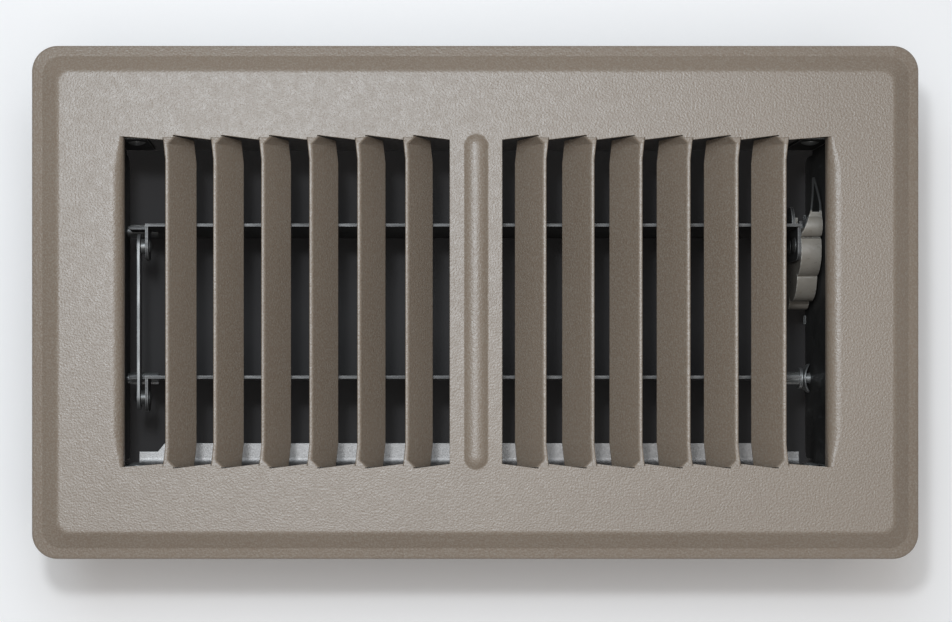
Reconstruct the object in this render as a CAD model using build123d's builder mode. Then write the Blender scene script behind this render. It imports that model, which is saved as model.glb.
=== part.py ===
from build123d import *
import os
from math import asin, cos, degrees, radians, sin

# Stamped steel floor register for a nominal 4 x 8 in duct boot, with a two-blade damper.
# Origin: centre of the face, on the floor that its rim rests on. +Z up out of the floor, +X along the
# face towards the thumb lever, +Y across it. Millimetres. The damper is open: its blades stand upright.

os.makedirs("parts", exist_ok=True)

# ---- face: rim, window, mullion, bead ----
FACE_LENGTH = 241.3
FACE_WIDTH = 139.7
FACE_TOP = 5.0             # flat of the face above the floor
FACE_SHEET = 0.8
EDGE_HEIGHT = 1.5          # upright edge of the rim
LIP_WIDTH = 3.0            # gentle outer lip of the rim
LIP_TOP = 2.3
RIM_WIDTH = 7.3            # whole rim, lip and slope
CORNER_RADII = (7.0, 5.2, 3.4)   # at the edge, at the lip, at the flat of the face
WINDOW_X = 95.4            # end of the window, where the rolled edge stands upright
WINDOW_Y = 44.7            # side of the window at its ends
MULLION_HALF = 7.1
BEAD_LENGTH = 90.5
BEAD_WIDTH = 6.3
BEAD_HEIGHT = 1.3
BEAD_BLEND = 0.7
ROLL_RADIUS = 3.4          # rolled-down edge at each end of the window
ROLL_CORNER = 1.3          # its radius in the window's corners
ROLL_TAPER = 9.0           # length over which the radius grows
ROLL_BOTTOM = 0.6

# ---- fins, sheared from the face and twisted down towards the mullion ----
FIN_COUNT = 6              # on each side of the mullion
FIN_PITCH = 13.0
FIN_FIRST = 19.1           # front edge of the fin nearest the mullion
FIN_LEAN = 7.8             # the back edge lies this much nearer the mullion
FIN_DROP = 10.4            # and this much deeper
FIN_SINK = 0.4             # the front edge dips below the face's flat
FIN_LEDGE = 0.9            # level strip along the front edge
FIN_BEND = 0.9             # outer radius between the strip and the leaf
FIN_STATIONS = (38.6, 42.8, 44.8)   # half lengths: end of the full twist, on the way, at the neck
FIN_RELAX = 0.65           # towards its ends a fin moves outwards this much
NECK_WIDTH = 3.4           # the strip that still joins a fin to the face
SHEAR_OUTER = 45.05        # half length of a slot at the neck
SHEAR_INNER = 43.85        # and at the next fin's front edge

# ---- damper box ----
WALL_SHEET = 0.7
WALL_Y = 45.4              # inner faces of the long walls
TOP_FLANGE = 9.5           # outward, spot-welded under the face
REAR_WALL_BOTTOM = -34.0
FRONT_WALL_BOTTOM = -29.9
BOTTOM_FLANGE = 6.6        # inward on the front wall only: one blade closes against it
BOTTOM_FLANGE_HALF = 87.0  # it is narrower beyond this
BOTTOM_FLANGE_END = 94.3
BOTTOM_FLANGE_TIP = 4.2
FOOT_BEND = 2.4            # inner radius between the front wall and its bottom flange
PLATE_SHEET = 0.8
PLATE_X = 97.6             # inner faces of the end plates
PLATE_BOTTOM = -36.5
PLATE_TOP = 3.2
PLATE_FLANGE = 8.1         # folded inwards along the long walls
PLATE_FLANGE_BOTTOM = -26.6
PLATE_FLANGE_TOP = 0.3     # below the rolled edge of the window
CORNER_RIVET_X = 93.0
CORNER_RIVET_Z = -8.0

# ---- damper blades, link, lever ----
BLADE_SHEET = 0.8
BLADE_HALF = 21.5          # half width of a blade, from its pivot axis to its edge
BLADE_LEFT = -96.3
BLADE_RIGHT = 91.0
PIVOT_Y = {"upper": 21.9, "lower": -20.2}
PIVOT_Z = -30.5
NOTCH_X = -90.8            # the corner beyond this is folded over into the link ear
NOTCH_BOTTOM = -19.5
EAR_LENGTH = 9.5
LINK_OFFSET = 5.6          # link rivet from the blade's plane
LINK_RIVET_Z = -14.0
LEVER_EAR_LENGTH = 9.6
LEVER_EAR_Z = (-26.0, -10.5)
LEVER_RIVETS = ((-5.2, 15.4), (-5.2, 8.0))   # from the pivot, across and up
TAB_X = 88.3
TAB_HEIGHT = 5.3
TAB_CORNER = 4.2
LINK_BAR_X = -93.2
LINK_BAR_WIDTH = 7.0
LINK_BAR_SHEET = 0.8
LINK_RIVET_RADIUS = 1.1
LINK_HEAD_RADIUS = 1.9
LINK_HEAD_HEIGHT = 0.7
LINK_WASHER_RADIUS = 2.1
RUNNING_CLEARANCE = 0.05
OPEN_PIVOT_CLEARANCE = 0.15
JOURNAL_RADIUS = 1.5
PIN_RADIUS = 1.8
PIN_GRIP = 7.5             # length of a blade held in a pin's slot
PIN_REACH = 99.4           # the journals end just outside the end plates
COLLAR_RADIUS = 3.0
COLLAR_X = (94.4, 95.2)
WASHER_RADIUS = 4.1
WASHER_BORE = 2.0
WASHER_SHEET = 0.35
WASHER_SPAN = (95.35, 97.6)
LEVER_RADIUS = 22.5        # crown of a lobe, from the pivot
LEVER_VALLEY = 20.7
LEVER_SHEET = 0.8
LEVER_X = (91.0, 91.8, 96.6)   # web, then the corrugated strip beside it
LEVER_LOBES = (-9.0, 9.3, 41.9, 77.0, 98.0)   # grooves, degrees from upright towards -Y
GROOVE_DEPTH = 1.5
GROOVE_HALF = 1.0          # degrees
LEVER_HUB = 5.0
TAIL_RADIUS = 21.4
TAIL_TURN = 40.0           # the forked tail ends this far from upright, towards +Y
INNER_TAPER = ((90, 20), (91.2, 20), (93.4, 25.4), (94.9, 36), (94.9, 40), (90, 40))   # cut off, in plan
OUTER_TAPER = ((98, 26), (96.6, 28), (95.6, 36), (95.6, 40), (98, 40))
FORK = ((93.9, 25.6), (96.0, 25.6), (96.0, 28.2), (95.2, 34))
NIB_Y = (25.7, -3.3)       # lanced nibs along the right end plate's lower edge
NIB_WIDTH = 2.3
NIB_REACH = 0.6


def write(piece, name):
    """Label a finished piece and write it as one STEP file."""
    piece.part.label = name
    export_step(piece.part, f"parts/{name}.step")


def at_height(piece, height):
    """The edges of a piece that lie at one height."""
    return piece.edges().filter_by_position(Axis.Z, height - 0.01, height + 0.01)


# ======================= face plate =======================

def rim_outline(inset, height, radius):
    """Rounded rectangle set in from the face's edge, at one height."""
    with BuildSketch(Plane.XY.offset(height)) as outline:
        RectangleRounded(FACE_LENGTH - 2 * inset, FACE_WIDTH - 2 * inset, radius)
    return outline.sketch


def pressed_form(inset, drop, splay):
    """Solid under the pressed face: inset and drop are zero outside, and the sheet's thickness inside."""
    edge, lip, flat = CORNER_RADII
    with BuildPart() as form:
        add(rim_outline(inset, 0, edge - inset))
        add(rim_outline(inset, EDGE_HEIGHT - drop, edge - inset))
        loft(ruled=True)
        add(rim_outline(inset, EDGE_HEIGHT - drop, edge - inset))
        add(rim_outline(LIP_WIDTH + splay, LIP_TOP - drop, lip))
        loft(ruled=True)
        add(rim_outline(LIP_WIDTH + splay, LIP_TOP - drop, lip))
        add(rim_outline(RIM_WIDTH + splay, FACE_TOP - drop, flat))
        loft(ruled=True)
        fillet(at_height(form, FACE_TOP - drop), 2.2)
        fillet(at_height(form, EDGE_HEIGHT - drop), 0.6)
    return form.part


def window_half():
    """Outline of the right half of the window: the sheared sawtooth along both long sides."""
    upper = [(MULLION_HALF, SHEAR_INNER)]
    for number in range(FIN_COUNT):
        front = FIN_FIRST + FIN_PITCH * number + FIN_RELAX
        upper += [(front - NECK_WIDTH, SHEAR_OUTER), (front, SHEAR_OUTER), (front, SHEAR_INNER)]
    upper += [(WINDOW_X, WINDOW_Y), (WINDOW_X + ROLL_CORNER, WINDOW_Y),
              (WINDOW_X + ROLL_RADIUS, WINDOW_Y - ROLL_TAPER)]
    lower = [(x, -y) for x, y in reversed(upper)]
    return upper + lower


def fin_outline(ledge, sink):
    """Corners of a fin's section, from its front edge: level strip, then the leaf that leans and drops."""
    run = FIN_LEAN - ledge
    drop = FIN_DROP - sink
    length = (run ** 2 + drop ** 2) ** 0.5
    across = (FACE_SHEET * drop / length, -FACE_SHEET * run / length)
    bend = ledge - FACE_SHEET * (length - run) / drop
    top = FACE_TOP - sink
    return [(0, top), (-ledge, top), (-FIN_LEAN, top - drop),
            (-FIN_LEAN + across[0], top - drop + across[1]), (-bend, top - FACE_SHEET), (0, top - FACE_SHEET)]


def fin_section(y, ledge, sink, shift):
    """Section of a fin at one place along it, with the bend and the front corner rounded."""
    with BuildSketch(Plane.XZ.offset(-y)) as section:
        with BuildLine():
            Polyline(*[(x + shift, z) for x, z in fin_outline(ledge, sink)], close=True)
        make_face()
        front_corner = section.vertices().sort_by(Axis.Y)[-2:].sort_by(Axis.X)[-1]
        fillet(front_corner, 0.25)
        bend = section.vertices().sort_by_distance((shift - ledge, FACE_TOP - sink, 0))[0]
        fillet(bend, FIN_BEND)
    return section.sketch


FIN_SHAPES = ((FIN_LEDGE, FIN_SINK, 0), (1.1, FIN_SINK, 0.45), (NECK_WIDTH, 0, FIN_RELAX))

with BuildPart() as fin:
    add(fin_section(-FIN_STATIONS[0], *FIN_SHAPES[0]))
    add(fin_section(FIN_STATIONS[0], *FIN_SHAPES[0]))
    loft(ruled=True)
    for end in (1, -1):
        for inner, outer in ((0, 1), (1, 2)):
            add(fin_section(end * FIN_STATIONS[inner], *FIN_SHAPES[inner]))
            add(fin_section(end * FIN_STATIONS[outer], *FIN_SHAPES[outer]))
            loft(ruled=True)
        with Locations((FIN_RELAX, end * SHEAR_OUTER, FACE_TOP)):
            Box(NECK_WIDTH - 0.6, 1.2, FACE_SHEET, align=(Align.MAX, Align.CENTER, Align.MAX))


def bead_form(radius):
    """Round-backed bar along the mullion with ball ends, cut off at the face's flat."""
    sag = (BEAD_WIDTH / 2) ** 2 + BEAD_HEIGHT ** 2
    full_radius = sag / (2 * BEAD_HEIGHT)
    centre_z = FACE_TOP + BEAD_HEIGHT - full_radius
    half = BEAD_LENGTH / 2 - BEAD_WIDTH / 2
    with BuildPart() as form:
        with Locations((0, 0, centre_z)):
            Cylinder(full_radius - radius, 2 * half, rotation=(90, 0, 0))
        with Locations((0, half, centre_z), (0, -half, centre_z)):
            Sphere(full_radius - radius)
        split(bisect_by=Plane.XY.offset(FACE_TOP - FACE_SHEET - 0.1), keep=Keep.TOP)
    return form.part


def roll_section(y):
    """Section of the rolled-down edge at one end of the window: tighter in the window's corners."""
    towards_corner = max(0, (abs(y) - WINDOW_Y + ROLL_TAPER) / ROLL_TAPER)
    radius = ROLL_RADIUS - (ROLL_RADIUS - ROLL_CORNER) * towards_corner
    with BuildSketch(Plane.XZ.offset(-y)) as section:
        with BuildLine():
            centre = (WINDOW_X + radius, FACE_TOP - radius)
            outer = CenterArc(centre, radius, 90, 90)
            inner = CenterArc(centre, radius - FACE_SHEET, 90, 90)
            Line(outer @ 0, inner @ 0)
            Polyline(outer @ 1, (WINDOW_X, ROLL_BOTTOM), (WINDOW_X + FACE_SHEET, ROLL_BOTTOM), inner @ 1)
        make_face()
    return section.sketch


ROLL_ENDS = (-WINDOW_Y - 0.3, -WINDOW_Y + ROLL_TAPER, WINDOW_Y - ROLL_TAPER, WINDOW_Y + 0.3)
with BuildPart() as end_roll:
    for start, end in zip(ROLL_ENDS, ROLL_ENDS[1:]):
        add(roll_section(start))
        add(roll_section(end))
        loft(ruled=True)

with BuildPart() as face_plate:
    add(pressed_form(0, 0, 0))
    add(pressed_form(FACE_SHEET, FACE_SHEET, 0.4), mode=Mode.SUBTRACT)
    with BuildSketch(Plane.XY.offset(FACE_TOP - 2)):
        for side in (1, -1):
            with BuildLine():
                Polyline(*[(side * x, y) for x, y in window_half()], close=True)
            make_face()
    extrude(amount=4, mode=Mode.SUBTRACT)
    add(bead_form(0))
    base = at_height(face_plate, FACE_TOP).filter_by_position(Axis.X, -BEAD_WIDTH / 2 - 0.1, BEAD_WIDTH / 2 + 0.1)
    fillet(base, BEAD_BLEND)
    add(bead_form(FACE_SHEET), mode=Mode.SUBTRACT)
    add(end_roll.part)
    add(mirror(end_roll.part, about=Plane.YZ, mode=Mode.PRIVATE))
    for number in range(FIN_COUNT):
        with Locations((FIN_FIRST + FIN_PITCH * number, 0, 0)):
            add(fin.part)
        with Locations((-FIN_FIRST - FIN_PITCH * number, 0, 0)):
            add(mirror(fin.part, about=Plane.YZ, mode=Mode.PRIVATE))
write(face_plate, "face_plate")


# ======================= damper box =======================

def long_wall_section(points, bends):
    """Face of a long wall's section on the box's left end, with its bends rounded."""
    with BuildSketch(Plane.YZ.offset(-PLATE_X - PLATE_SHEET)) as section:
        with BuildLine():
            Polyline(*points, close=True)
        make_face()
        for (y, z), radius in bends:
            fillet(section.vertices().sort_by_distance((y, z, 0))[0], radius)
    return section.sketch


WALL_TOP = FACE_TOP - FACE_SHEET
WALL_OUTER = WALL_Y + WALL_SHEET
RIVET_SPOTS = [(x, CORNER_RIVET_Z) for x in (-CORNER_RIVET_X, CORNER_RIVET_X)]
CORNER_SHANK = 1.3
CORNER_HEAD = 2.5
CORNER_HEAD_HEIGHT = 0.8

with BuildPart() as rear_wall:
    corners = [(WALL_Y, REAR_WALL_BOTTOM), (WALL_Y, WALL_TOP), (WALL_OUTER + TOP_FLANGE, WALL_TOP),
               (WALL_OUTER + TOP_FLANGE, WALL_TOP - WALL_SHEET), (WALL_OUTER, WALL_TOP - WALL_SHEET),
               (WALL_OUTER, REAR_WALL_BOTTOM)]
    section = long_wall_section(corners, [(corners[1], 1.2), (corners[4], 0.5)])
    extrude(section, amount=2 * (PLATE_X + PLATE_SHEET), dir=(1, 0, 0))
    with BuildSketch(Plane.XZ.offset(-WALL_Y + 1)):
        with Locations(*RIVET_SPOTS):
            Circle(CORNER_SHANK)
    extrude(amount=-WALL_SHEET - 2, mode=Mode.SUBTRACT)
write(rear_wall, "rear_wall")

with BuildPart() as front_wall:
    corners = [(-WALL_OUTER - TOP_FLANGE, WALL_TOP), (-WALL_Y, WALL_TOP),
               (-WALL_Y, FRONT_WALL_BOTTOM + WALL_SHEET), (-WALL_Y + BOTTOM_FLANGE, FRONT_WALL_BOTTOM + WALL_SHEET),
               (-WALL_Y + BOTTOM_FLANGE, FRONT_WALL_BOTTOM), (-WALL_OUTER, FRONT_WALL_BOTTOM),
               (-WALL_OUTER, WALL_TOP - WALL_SHEET), (-WALL_OUTER - TOP_FLANGE, WALL_TOP - WALL_SHEET)]
    bends = [(corners[1], 1.2), (corners[2], FOOT_BEND), (corners[5], FOOT_BEND + WALL_SHEET), (corners[6], 0.5)]
    extrude(long_wall_section(corners, bends), amount=2 * (PLATE_X + PLATE_SHEET), dir=(1, 0, 0))
    with BuildSketch(Plane.XY.offset(FRONT_WALL_BOTTOM - 1)):
        for side in (1, -1):
            with BuildLine():
                tip = -WALL_Y + BOTTOM_FLANGE_TIP
                inner = -WALL_Y + BOTTOM_FLANGE + 1
                Polyline((side * BOTTOM_FLANGE_HALF, inner), (side * BOTTOM_FLANGE_HALF, inner - 1),
                         (side * (BOTTOM_FLANGE_HALF + 2), tip), (side * BOTTOM_FLANGE_END, tip),
                         (side * BOTTOM_FLANGE_END, -WALL_Y), (side * (PLATE_X + 2), -WALL_Y),
                         (side * (PLATE_X + 2), inner), close=True)
            make_face()
    extrude(amount=WALL_SHEET + 2.2, mode=Mode.SUBTRACT)
    with BuildSketch(Plane.XZ.offset(WALL_Y - 1)):
        with Locations(*RIVET_SPOTS):
            Circle(CORNER_SHANK)
    extrude(amount=WALL_SHEET + 2, mode=Mode.SUBTRACT)
write(front_wall, "front_wall")

with BuildPart() as right_end_plate:
    with BuildSketch(Plane.XY.offset(PLATE_FLANGE_BOTTOM)) as channel:
        with BuildLine():
            flange_x = PLATE_X - PLATE_FLANGE
            inner_y = WALL_Y - PLATE_SHEET
            outer_x = PLATE_X + PLATE_SHEET
            Polyline((flange_x, inner_y), (PLATE_X, inner_y), (PLATE_X, -inner_y), (flange_x, -inner_y),
                     (flange_x, -WALL_Y), (outer_x, -WALL_Y), (outer_x, WALL_Y), (flange_x, WALL_Y), close=True)
        make_face()
        fillet(channel.vertices().group_by(Axis.X)[-1], 1.6)
        fillet(channel.vertices().group_by(Axis.X)[1], 0.8)
    extrude(amount=PLATE_FLANGE_TOP - PLATE_FLANGE_BOTTOM)
    with BuildSketch(Plane.YZ.offset(PLATE_X)):
        with Locations((0, (PLATE_BOTTOM + PLATE_TOP) / 2)):
            Rectangle(2 * WALL_Y - 4, PLATE_TOP - PLATE_BOTTOM)
    extrude(amount=PLATE_SHEET)
    fillet(right_end_plate.edges().filter_by(Axis.X).group_by(Axis.Z)[0], 3.0)
    with BuildSketch(Plane.YZ.offset(PLATE_X - 1)):
        with Locations(*[(y, PIVOT_Z) for y in PIVOT_Y.values()]):
            Circle(JOURNAL_RADIUS + RUNNING_CLEARANCE)
    extrude(amount=PLATE_SHEET + 2, mode=Mode.SUBTRACT)
    with Locations((CORNER_RIVET_X, 0, CORNER_RIVET_Z)):
        Cylinder(CORNER_SHANK, 2 * WALL_Y + 2, rotation=(90, 0, 0), mode=Mode.SUBTRACT)

with BuildPart() as left_end_plate:
    add(mirror(right_end_plate.part, about=Plane.YZ, mode=Mode.PRIVATE))

with right_end_plate:
    with Locations(*[(PLATE_X, y, PLATE_BOTTOM) for y in NIB_Y]):
        Box(NIB_REACH, NIB_WIDTH, PLATE_SHEET, align=(Align.MAX, Align.CENTER, Align.MIN))
write(right_end_plate, "right_end_plate")
write(left_end_plate, "left_end_plate")


def rivet(shank_radius, head_radius, head_height, grip):
    """Rivet along Z: its grip from z = 0 upwards, with a domed head at each end."""
    dome_radius = (head_radius ** 2 + head_height ** 2) / (2 * head_height)
    half_angle = asin(head_radius / dome_radius) / 2
    halfway = (dome_radius * sin(half_angle), dome_radius * (1 - cos(half_angle)) - head_height)
    with BuildPart() as piece:
        with BuildSketch(Plane.XZ):
            with BuildLine():
                ThreePointArc((0, -head_height), halfway, (head_radius, 0))
                Polyline((head_radius, 0), (shank_radius, 0), (shank_radius, grip), (head_radius, grip))
                ThreePointArc((head_radius, grip), (halfway[0], grip - halfway[1]), (0, grip + head_height))
                Line((0, grip + head_height), (0, -head_height))
            make_face()
        revolve(axis=Axis.Z)
    return piece.part


with BuildPart() as corner_rivets:
    corner_rivet = rivet(CORNER_SHANK, CORNER_HEAD, CORNER_HEAD_HEIGHT, PLATE_SHEET + WALL_SHEET)
    for side in (1, -1):
        for x, z in RIVET_SPOTS:
            seat = Plane((x, side * (WALL_Y - PLATE_SHEET), z), z_dir=(0, side, 0))
            add(seat.location * corner_rivet)
write(corner_rivets, "corner_rivets")


# ======================= damper blades =======================

def blade_body(pivot_y, with_lever_ear):
    """A flat blade, its front left corner folded over into the link ear."""
    edge_top = PIVOT_Z + BLADE_HALF
    edge_bottom = PIVOT_Z - BLADE_HALF
    half_sheet = BLADE_SHEET / 2
    with BuildPart() as body:
        with BuildSketch(Plane.XZ.offset(-pivot_y - half_sheet)) as sheet:
            with BuildLine():
                Polyline((BLADE_LEFT, edge_bottom), (BLADE_RIGHT, edge_bottom), (BLADE_RIGHT, edge_top),
                         (NOTCH_X, edge_top), (NOTCH_X, NOTCH_BOTTOM), (BLADE_LEFT, NOTCH_BOTTOM), close=True)
            make_face()
            fillet(sheet.vertices().group_by(Axis.Y)[0], 2.5)
        extrude(amount=BLADE_SHEET)
        with BuildSketch(Plane.YZ.offset(NOTCH_X)) as ear:
            with Locations((pivot_y + half_sheet - (EAR_LENGTH + half_sheet) / 2, (edge_top + NOTCH_BOTTOM) / 2)):
                Rectangle(EAR_LENGTH + half_sheet, edge_top - NOTCH_BOTTOM)
            fillet(ear.vertices().group_by(Axis.X)[0], 3.5)
            with Locations((pivot_y - LINK_OFFSET, LINK_RIVET_Z)):
                Circle(LINK_RIVET_RADIUS, mode=Mode.SUBTRACT)
        extrude(amount=BLADE_SHEET)
        if with_lever_ear:
            low, high = LEVER_EAR_Z
            with BuildSketch(Plane.YZ.offset(BLADE_RIGHT - BLADE_SHEET)) as lever_ear:
                with Locations((pivot_y + half_sheet - (LEVER_EAR_LENGTH + half_sheet) / 2, (low + high) / 2)):
                    Rectangle(LEVER_EAR_LENGTH + half_sheet, high - low)
                fillet(lever_ear.vertices().group_by(Axis.X)[0], 2.5)
                with Locations(*[(pivot_y + across, PIVOT_Z + up) for across, up in LEVER_RIVETS]):
                    Circle(1.2, mode=Mode.SUBTRACT)
            extrude(amount=BLADE_SHEET)
            with BuildSketch(Plane.YZ.offset(TAB_X)) as tab:
                with Locations((pivot_y + TAB_HEIGHT / 2, edge_top - 3.5)):
                    Rectangle(TAB_HEIGHT, 7.0)
                fillet(tab.vertices().sort_by_distance((pivot_y + TAB_HEIGHT, edge_top, 0))[0], TAB_CORNER)
            extrude(amount=BLADE_SHEET)
    return body.part


with BuildPart() as upper_blade:
    add(blade_body(PIVOT_Y["upper"], True))
write(upper_blade, "upper_blade")

with BuildPart() as lower_blade:
    add(blade_body(PIVOT_Y["lower"], False))
write(lower_blade, "lower_blade")


def pivot_pin(pivot_y, right):
    """Round pin whose slot grips the blade's end and whose journal turns in the end plate.
    The right pins also carry the collar that presses the friction washer."""
    blade_end = BLADE_RIGHT if right else BLADE_LEFT
    side = 1 if right else -1
    shoulder = COLLAR_X[1] if right else 96.9
    start = abs(blade_end) - PIN_GRIP
    with BuildPart() as pin:
        with BuildSketch(Plane(origin=(side * start, pivot_y, PIVOT_Z), z_dir=(side, 0, 0))):
            Circle(PIN_RADIUS)
        extrude(amount=shoulder - start)
        with BuildSketch(Plane(origin=(side * shoulder, pivot_y, PIVOT_Z), z_dir=(side, 0, 0))):
            Circle(JOURNAL_RADIUS)
        extrude(amount=PIN_REACH - shoulder)
        chamfer(pin.edges().filter_by(GeomType.CIRCLE).sort_by(Axis.X)[-1 if right else 0], 0.3)
        if right:
            with BuildSketch(Plane(origin=(COLLAR_X[0], pivot_y, PIVOT_Z), z_dir=(1, 0, 0))):
                Circle(COLLAR_RADIUS)
            extrude(amount=COLLAR_X[1] - COLLAR_X[0])
        with Locations((side * (start + PIN_GRIP / 2), pivot_y, PIVOT_Z)):
            Box(PIN_GRIP, BLADE_SHEET, 2 * PIN_RADIUS + 1, mode=Mode.SUBTRACT)
    return pin.part


for level, pivot_y in PIVOT_Y.items():
    for end_name in ("left", "right"):
        with BuildPart() as pivot:
            add(pivot_pin(pivot_y, end_name == "right"))
        write(pivot, f"{level}_{end_name}_pivot")

for level, pivot_y in PIVOT_Y.items():
    with BuildPart() as washer:
        rise = WASHER_SPAN[1] - WASHER_SPAN[0] - WASHER_SHEET
        bow_radius = (WASHER_RADIUS ** 2 + rise ** 2) / (2 * rise)
        half_angle = degrees(asin(WASHER_RADIUS / bow_radius))
        with BuildSketch(Plane.XY.offset(PIVOT_Z - WASHER_RADIUS)):
            with BuildLine():
                centre = (WASHER_SPAN[0] + bow_radius + WASHER_SHEET, pivot_y)
                crown = CenterArc(centre, bow_radius + WASHER_SHEET, 180 - half_angle, 2 * half_angle)
                hollow = CenterArc(centre, bow_radius, 180 - half_angle, 2 * half_angle)
                Line(crown @ 0, hollow @ 0)
                Line(crown @ 1, hollow @ 1)
            make_face()
        extrude(amount=2 * WASHER_RADIUS)
        with BuildSketch(Plane.YZ.offset(WASHER_SPAN[0] - 1)):
            with Locations((pivot_y, PIVOT_Z)):
                Circle(WASHER_RADIUS)
                Circle(WASHER_BORE, mode=Mode.SUBTRACT)
        extrude(amount=4, mode=Mode.INTERSECT)
    write(washer, f"{level}_friction_washer")


# ======================= link =======================

LINK_ENDS = [(y - LINK_OFFSET, LINK_RIVET_Z) for y in PIVOT_Y.values()]
WASHER_GAP = (LINK_BAR_X + LINK_BAR_SHEET, NOTCH_X)

with BuildPart() as link_bar:
    with BuildSketch(Plane.YZ.offset(LINK_BAR_X)):
        middle = sum(y for y, z in LINK_ENDS) / 2
        span = LINK_ENDS[0][0] - LINK_ENDS[1][0]
        with Locations((middle, LINK_RIVET_Z)):
            SlotOverall(span + LINK_BAR_WIDTH, LINK_BAR_WIDTH)
        with Locations(LINK_ENDS[0]):
            Circle(LINK_RIVET_RADIUS + RUNNING_CLEARANCE, mode=Mode.SUBTRACT)
        with Locations(LINK_ENDS[1]):
            Circle(LINK_RIVET_RADIUS + OPEN_PIVOT_CLEARANCE, mode=Mode.SUBTRACT)
    extrude(amount=LINK_BAR_SHEET)
write(link_bar, "link_bar")

for level, (y, z) in zip(PIVOT_Y, LINK_ENDS):
    head_seat = LINK_BAR_X - 0.15
    with BuildPart() as link_rivet:
        stem = rivet(LINK_RIVET_RADIUS, LINK_HEAD_RADIUS, LINK_HEAD_HEIGHT, NOTCH_X + BLADE_SHEET - head_seat)
        add(Plane((head_seat, y, z), z_dir=(1, 0, 0)).location * stem)
    write(link_rivet, f"{level}_link_rivet")
    with BuildPart() as link_washer:
        with BuildSketch(Plane((WASHER_GAP[0] + 0.15, y, z), z_dir=(1, 0, 0))):
            Circle(LINK_WASHER_RADIUS)
            Circle(LINK_RIVET_RADIUS, mode=Mode.SUBTRACT)
        extrude(amount=WASHER_GAP[1] - WASHER_GAP[0] - 0.15)
    write(link_washer, f"{level}_link_washer")


# ======================= thumb lever =======================

def polar(radius, angle):
    """Point across and up from the upper pivot: the angle runs from upright towards -Y."""
    return (PIVOT_Y["upper"] - radius * sin(radians(angle)), PIVOT_Z + radius * cos(radians(angle)))


def lobed_line(thickness):
    """Edge of the corrugated strip: one arc over each lobe, and a narrow groove between two lobes."""
    valley = LEVER_VALLEY - thickness
    crown = LEVER_RADIUS - thickness
    last = len(LEVER_LOBES) - 2
    for number, (start, end) in enumerate(zip(LEVER_LOBES, LEVER_LOBES[1:])):
        rise = polar(valley, start + GROOVE_HALF)
        fall = polar(valley, end - GROOVE_HALF)
        ThreePointArc(rise, polar(crown, (start + end) / 2), fall)
        if number < last:
            Polyline(fall, polar(valley - GROOVE_DEPTH, end), polar(valley, end + GROOVE_HALF))
    return polar(valley, LEVER_LOBES[0] + GROOVE_HALF), fall


def plan_prism(*corners):
    """Upright prism over an outline in plan, through the upper part of the lever."""
    with BuildPart() as prism:
        with BuildSketch(Plane.XY.offset(PIVOT_Z + 12)):
            with BuildLine():
                Polyline(*corners, close=True)
            make_face()
        extrude(amount=12)
    return prism.part


WEB_X, STRIP_X, STRIP_END = LEVER_X
with BuildPart() as thumb_lever:
    with BuildSketch(Plane.YZ.offset(WEB_X)):
        with BuildLine():
            first, last = lobed_line(0)
            Polyline(last, polar(LEVER_HUB, LEVER_LOBES[-1] + 15), polar(LEVER_HUB, 150),
                     polar(LEVER_HUB, -150), polar(LEVER_HUB, LEVER_LOBES[0] - 25), first)
        make_face()
        with Locations((PIVOT_Y["upper"], PIVOT_Z)):
            Circle(PIN_RADIUS + 0.15, mode=Mode.SUBTRACT)
        with Locations(*[(PIVOT_Y["upper"] + across, PIVOT_Z + up) for across, up in LEVER_RIVETS]):
            Circle(1.2, mode=Mode.SUBTRACT)
    extrude(amount=STRIP_X - WEB_X)
    with BuildSketch(Plane.YZ.offset(STRIP_X)):
        with BuildLine():
            outer_first, outer_last = lobed_line(0)
            inner_first, inner_last = lobed_line(LEVER_SHEET)
            Line(outer_first, inner_first)
            Line(outer_last, inner_last)
        make_face()
    extrude(amount=STRIP_END - STRIP_X)
    with BuildSketch(Plane.YZ.offset(STRIP_X)):
        with BuildLine():
            pivot = (PIVOT_Y["upper"], PIVOT_Z)
            turn = TAIL_TURN + LEVER_LOBES[0] + 3
            over = CenterArc(pivot, TAIL_RADIUS, 90 - TAIL_TURN, turn)
            under = CenterArc(pivot, TAIL_RADIUS - LEVER_SHEET, 90 - TAIL_TURN, turn)
            Line(over @ 0, under @ 0)
            Line(over @ 1, under @ 1)
        make_face()
    extrude(amount=STRIP_END - STRIP_X)
    for outline in (INNER_TAPER, OUTER_TAPER, FORK):
        add(plan_prism(*outline), mode=Mode.SUBTRACT)
write(thumb_lever, "thumb_lever")

with BuildPart() as lever_rivets:
    lever_rivet = rivet(1.2, 2.2, 0.8, 2 * BLADE_SHEET)
    for across, up in LEVER_RIVETS:
        spot = (BLADE_RIGHT - BLADE_SHEET, PIVOT_Y["upper"] + across, PIVOT_Z + up)
        add(Plane(spot, z_dir=(1, 0, 0)).location * lever_rivet)
write(lever_rivets, "lever_rivets")
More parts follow.
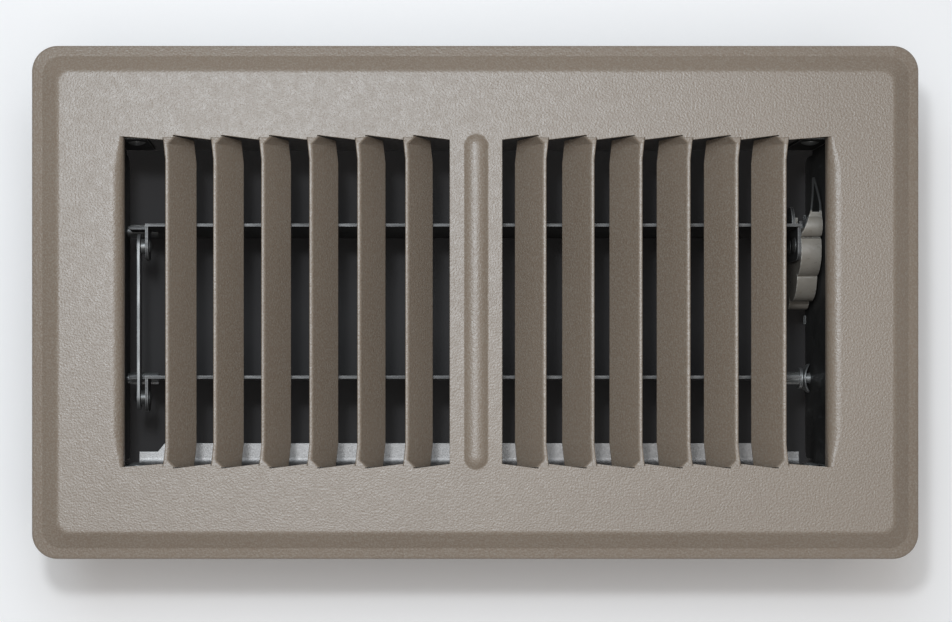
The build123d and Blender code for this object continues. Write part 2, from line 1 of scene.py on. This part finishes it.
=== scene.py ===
import bpy
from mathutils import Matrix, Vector


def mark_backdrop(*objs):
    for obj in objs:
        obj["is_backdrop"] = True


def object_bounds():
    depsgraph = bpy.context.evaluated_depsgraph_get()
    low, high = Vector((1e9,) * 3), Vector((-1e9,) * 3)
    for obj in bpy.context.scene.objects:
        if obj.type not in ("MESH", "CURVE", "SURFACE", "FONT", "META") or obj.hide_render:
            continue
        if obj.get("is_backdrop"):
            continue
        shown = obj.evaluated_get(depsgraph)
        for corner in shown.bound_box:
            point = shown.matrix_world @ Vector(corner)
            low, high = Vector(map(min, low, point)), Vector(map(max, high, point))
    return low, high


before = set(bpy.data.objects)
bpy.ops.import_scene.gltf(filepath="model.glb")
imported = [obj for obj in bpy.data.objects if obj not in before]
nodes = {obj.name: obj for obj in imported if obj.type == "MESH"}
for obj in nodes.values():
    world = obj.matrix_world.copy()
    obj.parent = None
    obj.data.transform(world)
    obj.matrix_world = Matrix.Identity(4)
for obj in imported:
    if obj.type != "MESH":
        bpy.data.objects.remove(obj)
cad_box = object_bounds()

# A steel floor register, seen straight down on its face. Metres, in the part's own frame:
# the face lies in XY, +Z is up out of the floor, +X points to the thumb lever.

MM = 0.001


# ---------------------------------------------------------------- material helpers

def new_material(name, roughness=0.5, metallic=0.0, specular=0.5):
    """A new node material, its constants set on the shader: returns it, its tree and its shader."""
    material = bpy.data.materials.new(name)
    material.use_nodes = True
    tree = material.node_tree
    shader = tree.nodes["Principled BSDF"]
    shader.inputs["Roughness"].default_value = roughness
    shader.inputs["Metallic"].default_value = metallic
    shader.inputs["Specular IOR Level"].default_value = specular
    return material, tree, shader


def add(tree, kind, settings=None, **inputs):
    """A node of one kind. Inputs are values or output sockets, named as the node names them."""
    node = tree.nodes.new(kind)
    for key, value in (settings or {}).items():
        setattr(node, key, value)
    for key, value in inputs.items():
        plug(tree, node.inputs[key.replace("_", " ")], value)
    return node


def plug(tree, socket, value):
    """Feed a socket from another node's output, or set its constant."""
    if isinstance(value, bpy.types.NodeSocket):
        tree.links.new(value, socket)
    else:
        socket.default_value = value


def object_coords(tree, stretch=(1.0, 1.0, 1.0)):
    """Where a point is on the object, in metres, stretched along the axes."""
    coords = add(tree, "ShaderNodeTexCoord")
    return add(tree, "ShaderNodeMapping", Vector=coords.outputs["Object"], Scale=stretch).outputs["Vector"]


def noise(tree, size_mm, detail=2.0, stretch=(1.0, 1.0, 1.0), rough=0.5):
    """Noise whose blotches are about size_mm across."""
    vector = object_coords(tree, stretch)
    return add(tree, "ShaderNodeTexNoise", Vector=vector, Scale=1.0 / (size_mm * MM),
               Detail=detail, Roughness=rough).outputs["Fac"]


def ramp(tree, factor, start, stop):
    """Grey ramp between two stops, each a (position, value)."""
    node = add(tree, "ShaderNodeValToRGB", Fac=factor)
    for element, (position, value) in zip(node.color_ramp.elements, (start, stop)):
        element.position = position
        element.color = (value, value, value, 1.0)
    return node.outputs["Color"]


def blend(tree, factor, low, high):
    """Colour mix: low where the factor is 0, high where it is 1."""
    node = add(tree, "ShaderNodeMix", {"data_type": "RGBA"})
    factor_socket, low_socket, high_socket = (node.inputs[index] for index in (0, 6, 7))
    plug(tree, factor_socket, factor)
    for socket, value in ((low_socket, low), (high_socket, high)):
        plug(tree, socket, (*value, 1.0) if isinstance(value, tuple) else value)
    return node.outputs[2]


def mottle(tree, factor, low, high, spread=(0.3, 0.7)):
    """Two tones of one colour, blended where the noise factor passes through the spread."""
    start, stop = spread
    return blend(tree, ramp(tree, factor, (start, 0.0), (stop, 1.0)), low, high)


def math_node(tree, operation, first, second, clamp=False):
    """One scalar sum, product or the like."""
    node = add(tree, "ShaderNodeMath", {"operation": operation, "use_clamp": clamp})
    plug(tree, node.inputs[0], first)
    plug(tree, node.inputs[1], second)
    return node.outputs[0]


BEVEL_SAMPLES = 6
EDGE_GAIN = 4.0      # how fast an edge mask grows with the turn of the rounded normal


def rounded_normal(tree, radius_mm):
    """The surface's normal, with its edges rounded to a radius."""
    return add(tree, "ShaderNodeBevel", {"samples": BEVEL_SAMPLES}, Radius=radius_mm * MM).outputs["Normal"]


def edges(tree, radius_mm):
    """1 on sharp edges and 0 on flats: how far a rounded normal turns from the true one."""
    true_normal = add(tree, "ShaderNodeNewGeometry").outputs["Normal"]
    facing = add(tree, "ShaderNodeVectorMath", {"operation": "DOT_PRODUCT"})
    tree.links.new(rounded_normal(tree, radius_mm), facing.inputs[0])
    tree.links.new(true_normal, facing.inputs[1])
    turned = math_node(tree, "SUBTRACT", 1.0, facing.outputs["Value"])
    return math_node(tree, "MULTIPLY", turned, EDGE_GAIN, clamp=True)


def patchy_edges(tree, radius_mm, patch_mm, start, stop, detail=3):
    """Edge mask that comes and goes along the edge, in patches."""
    patches = ramp(tree, noise(tree, patch_mm, detail), start, stop)
    return math_node(tree, "MULTIPLY", edges(tree, radius_mm), patches)


def bump(tree, shader, layers, rounding_mm):
    """Surface relief from (height, strength, depth in mm) layers over softly rounded edges."""
    normal = rounded_normal(tree, rounding_mm)
    for height, strength, depth_mm in layers:
        node = add(tree, "ShaderNodeBump", Height=height, Strength=strength, Distance=depth_mm * MM,
                   Normal=normal)
        normal = node.outputs["Normal"]
    tree.links.new(normal, shader.inputs["Normal"])


def dress(material, *names):
    """Give CAD nodes one material."""
    for name in names:
        mesh = nodes[name].data
        mesh.materials.clear()
        mesh.materials.append(material)


# ---------------------------------------------------------------- materials

def face_enamel():
    """Baked taupe enamel: orange-peel relief, fine speckle, lighter sheared edges as thin wear and painted
    edge highlight.
    """
    material, tree, shader = new_material("face_enamel", specular=0.75)
    speck = noise(tree, 0.5, 2, rough=0.6)
    colour = mottle(tree, noise(tree, 70, 3), (0.198, 0.148, 0.108), (0.220, 0.166, 0.122))
    colour = mottle(tree, speck, colour, (0.255, 0.210, 0.166), (0.42, 0.66))
    # Lighter sheared edges: thin wear, and a painted edge highlight along the fins' edges.
    bright_edges = patchy_edges(tree, 0.35, 2.5, (0.42, 0.0), (0.62, 0.5))
    colour = blend(tree, bright_edges, colour, (0.40, 0.36, 0.31))
    tree.links.new(colour, shader.inputs["Base Color"])
    tree.links.new(ramp(tree, noise(tree, 2.0, 3), (0.3, 0.38), (0.7, 0.46)), shader.inputs["Roughness"])
    peel = noise(tree, 0.55, 1)
    grain = noise(tree, 0.28, 2)
    bump(tree, shader, [(peel, 1.0, 0.11), (grain, 0.7, 0.05)], 0.3)
    return material


def box_steel():
    """Galvanised steel of the damper box: dull grey spangle, smudges, bright sheared edges."""
    material, tree, shader = new_material("box_steel", metallic=0.85)
    spangle = noise(tree, 0.9, 4, rough=0.7)
    colour = mottle(tree, noise(tree, 18, 4), (0.235, 0.223, 0.215), (0.32, 0.305, 0.294))
    colour = blend(tree, ramp(tree, spangle, (0.4, 0.0), (0.62, 0.8)), colour, (0.46, 0.437, 0.421))
    bright_edges = patchy_edges(tree, 0.4, 1.8, (0.4, 0.0), (0.6, 1.0))
    colour = blend(tree, bright_edges, colour, (0.55, 0.54, 0.53))
    tree.links.new(colour, shader.inputs["Base Color"])
    tree.links.new(ramp(tree, spangle, (0.3, 0.40), (0.7, 0.58)), shader.inputs["Roughness"])
    waves = noise(tree, 1.2, 2)
    grain = noise(tree, 0.45, 2)
    bump(tree, shader, [(waves, 0.35, 0.06), (grain, 0.6, 0.05)], 0.3)
    return material


def painted_shade_steel():
    """Steel of the end plates, painted near-black as shade and dark reflection, with dull scuffs and a
    bright sheared edge.
    """
    material, tree, shader = new_material("end_plate_steel", specular=0.3)
    tone = noise(tree, 9, 5, rough=0.6)
    # Near-black tones: painted shade and dark reflection on the end plates.
    colour = mottle(tree, tone, (0.020, 0.019, 0.018), (0.040, 0.038, 0.036), (0.35, 0.7))
    scuff = ramp(tree, noise(tree, 2.0, 4, (1.0, 1.0, 0.2)), (0.62, 0.0), (0.72, 0.3))
    colour = blend(tree, scuff, colour, (0.12, 0.12, 0.12))
    colour = blend(tree, math_node(tree, "MULTIPLY", edges(tree, 0.3), 0.8), colour, (0.60, 0.60, 0.58))
    tree.links.new(colour, shader.inputs["Base Color"])
    tree.links.new(ramp(tree, tone, (0.3, 0.42), (0.7, 0.66)), shader.inputs["Roughness"])
    bump(tree, shader, [(noise(tree, 0.8, 3), 0.15, 0.04)], 0.2)
    return material


def mill_steel(name, low, high, bright, grain, rough, metallic):
    """Bare rolled steel: streaks along the grain, scuffs, brighter sheared edges."""
    material, tree, shader = new_material(name, metallic=metallic)
    streak = noise(tree, 0.5, 4, grain, 0.6)
    colour = mottle(tree, noise(tree, 14, 4), low, high)
    dirt = ramp(tree, streak, (0.4, 0.0), (0.65, 0.4))
    colour = blend(tree, dirt, colour, tuple(0.5 * v for v in low))
    colour = blend(tree, patchy_edges(tree, 0.4, 3.0, (0.35, 0.5), (0.65, 1.0)), colour, bright)
    tree.links.new(colour, shader.inputs["Base Color"])
    tree.links.new(ramp(tree, streak, (0.3, rough[0]), (0.7, rough[1])), shader.inputs["Roughness"])
    bump(tree, shader, [(streak, 0.25, 0.03)], 0.2)
    return material


SHADED_FORK_START = 25.7 * MM      # beyond this, towards +Y, the lever's fork is painted near-black as shade
TAIL_FADE = 0.5 * MM


def lever_enamel():
    """Taupe enamel of the thumb lever, lighter along its ridges as rubbed wear and painted highlight; its
    fork towards +Y is painted near-black as shade.
    """
    material, tree, shader = new_material("lever_enamel", specular=0.6)
    colour = mottle(tree, noise(tree, 6, 4), (0.20, 0.175, 0.145), (0.26, 0.232, 0.196))
    # Lighter ridges: rubbed wear, and painted highlight on the lobes' edges.
    rubbed_and_highlight = patchy_edges(tree, 0.6, 0.9, (0.4, 0.1), (0.6, 1.0), detail=4)
    colour = blend(tree, rubbed_and_highlight, colour, (0.52, 0.50, 0.46))
    # The lever's fork, towards +Y, is painted near-black: painted shade.
    along = add(tree, "ShaderNodeSeparateXYZ", Vector=object_coords(tree)).outputs["Y"]
    fork_shade = add(tree, "ShaderNodeMapRange", Value=along, From_Min=SHADED_FORK_START, From_Max=SHADED_FORK_START + TAIL_FADE)
    colour = blend(tree, fork_shade.outputs["Result"], colour, (0.035, 0.034, 0.032))
    tree.links.new(colour, shader.inputs["Base Color"])
    tree.links.new(ramp(tree, noise(tree, 1.5, 3), (0.3, 0.26), (0.7, 0.42)), shader.inputs["Roughness"])
    bump(tree, shader, [(noise(tree, 0.9, 2), 0.4, 0.08)], 0.3)
    return material


dress(face_enamel(), "face_plate")
dress(box_steel(), "rear_wall", "front_wall")
dress(painted_shade_steel(), "left_end_plate", "right_end_plate")
dress(lever_enamel(), "thumb_lever")

GRAIN_ALONG_X = (0.05, 1.0, 1.0)
GRAIN_ALONG_Y = (1.0, 0.05, 1.0)
NO_GRAIN = (1.0, 1.0, 1.0)

# The blades' near-black tones are painted shade on their faces; their bright sheared edges keep the steel's
# own lighter grey.
blade_steel = mill_steel("blade_steel", (0.060, 0.058, 0.057), (0.105, 0.102, 0.099), (0.42, 0.411, 0.400),
                         GRAIN_ALONG_X, (0.42, 0.60), 0.5)
dress(blade_steel, "upper_blade", "lower_blade")

link_steel = mill_steel("link_steel", (0.17, 0.168, 0.164), (0.25, 0.246, 0.240), (0.38, 0.375, 0.366),
                        GRAIN_ALONG_Y, (0.42, 0.58), 0.7)
dress(link_steel, "link_bar")

zinc_steel = mill_steel("zinc_steel", (0.30, 0.30, 0.296), (0.42, 0.42, 0.41), (0.50, 0.50, 0.49),
                        NO_GRAIN, (0.34, 0.52), 0.8)
dress(zinc_steel, "corner_rivets", "upper_friction_washer", "lower_friction_washer",
      "upper_left_pivot", "upper_right_pivot", "lower_left_pivot", "lower_right_pivot")

rivet_steel = mill_steel("rivet_steel", (0.10, 0.098, 0.095), (0.17, 0.167, 0.16), (0.34, 0.335, 0.325),
                         NO_GRAIN, (0.30, 0.50), 0.7)
dress(rivet_steel, "lever_rivets", "upper_link_rivet", "lower_link_rivet",
      "upper_link_washer", "lower_link_washer")


# ---------------------------------------------------------------- stage

def stage_plane(name, height, size, colours):
    """A flat stage piece round the origin, with a softly mottled matt finish."""
    half_x, half_y = size[0] / 2, size[1] / 2
    corners = [(-half_x, -half_y, height), (half_x, -half_y, height),
               (half_x, half_y, height), (-half_x, half_y, height)]
    mesh = bpy.data.meshes.new(name)
    mesh.from_pydata(corners, [], [(0, 1, 2, 3)])
    plane = bpy.data.objects.new(name, mesh)
    bpy.context.scene.collection.objects.link(plane)
    material, tree, shader = new_material(name, roughness=0.9, specular=0.1)
    tree.links.new(blend(tree, noise(tree, 40, 3), *colours), shader.inputs["Base Color"])
    mesh.materials.append(material)
    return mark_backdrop(plane)


FLOOR = cad_box[0].z - 0.3 * MM      # just under the open blades, the lowest pieces
FLOOR_SIZE = (6.0, 6.0)
SHADE_CARD_HEIGHT = FLOOR + 0.2 * MM
SHADE_CARD_SIZE = (206 * MM, 105 * MM)      # the size of a nominal 8 x 4 in duct, under the box; the card is painted shade

stage_plane("pale_floor", FLOOR, FLOOR_SIZE, ((0.95, 0.92, 0.90), (0.97, 0.94, 0.92)))
# A near-black card under the box, painted as the shade of a duct opening.
stage_plane("duct_shade_card", SHADE_CARD_HEIGHT, SHADE_CARD_SIZE, ((0.046, 0.044, 0.044), (0.076, 0.073, 0.073)))


def area_light(name, place, size, power, colour=(1.0, 1.0, 1.0)):
    """A square soft light aimed at the origin."""
    light = bpy.data.lights.new(name, "AREA")
    light.size = size
    light.energy = power
    light.color = colour
    lamp = bpy.data.objects.new(name, light)
    lamp.location = place
    lamp.rotation_euler = (-Vector(place)).to_track_quat("-Z", "Y").to_euler()
    bpy.context.scene.collection.objects.link(lamp)


area_light("key", (-0.075, 0.090, 0.605), 0.04, 1.0, (0.94, 1.0, 1.06))
area_light("softbox", (-0.09, 0.20, 0.63), 0.32, 1.4, (0.84, 1.0, 1.14))
area_light("overhead", (0.0, 0.0, 1.2), 0.9, 6.0)

WORLD_STRENGTH = 0.20

world = bpy.data.worlds.new("studio")
world.use_nodes = True
background = world.node_tree.nodes["Background"]
background.inputs["Color"].default_value = (1.0, 1.0, 1.0, 1.0)
background.inputs["Strength"].default_value = WORLD_STRENGTH
bpy.context.scene.world = world
bpy.context.scene.view_settings.view_transform = "Standard"


# ---------------------------------------------------------------- camera

# The camera looks straight down past the face's front left quarter.
# Its lens is shifted to take in the whole face.
FACE_TOP = 5 * MM
CAMERA_HEIGHT = 0.600      # above the flat of the face
CAMERA_PLACE = (-0.0345, -0.0285)
VIEW_WIDTH = 0.2575        # width of the view at the face
VIEW_CENTRE = (0.0, -0.0025)
SENSOR_WIDTH = 36.0        # mm, as Blender counts lenses

camera_data = bpy.data.cameras.new("camera")
camera_data.sensor_width = SENSOR_WIDTH
camera_data.lens = SENSOR_WIDTH * CAMERA_HEIGHT / VIEW_WIDTH
camera_data.shift_x = (VIEW_CENTRE[0] - CAMERA_PLACE[0]) / VIEW_WIDTH
camera_data.shift_y = (VIEW_CENTRE[1] - CAMERA_PLACE[1]) / VIEW_WIDTH
camera = bpy.data.objects.new("camera", camera_data)
camera.location = (*CAMERA_PLACE, FACE_TOP + CAMERA_HEIGHT)
bpy.context.scene.collection.objects.link(camera)
bpy.context.scene.camera = camera
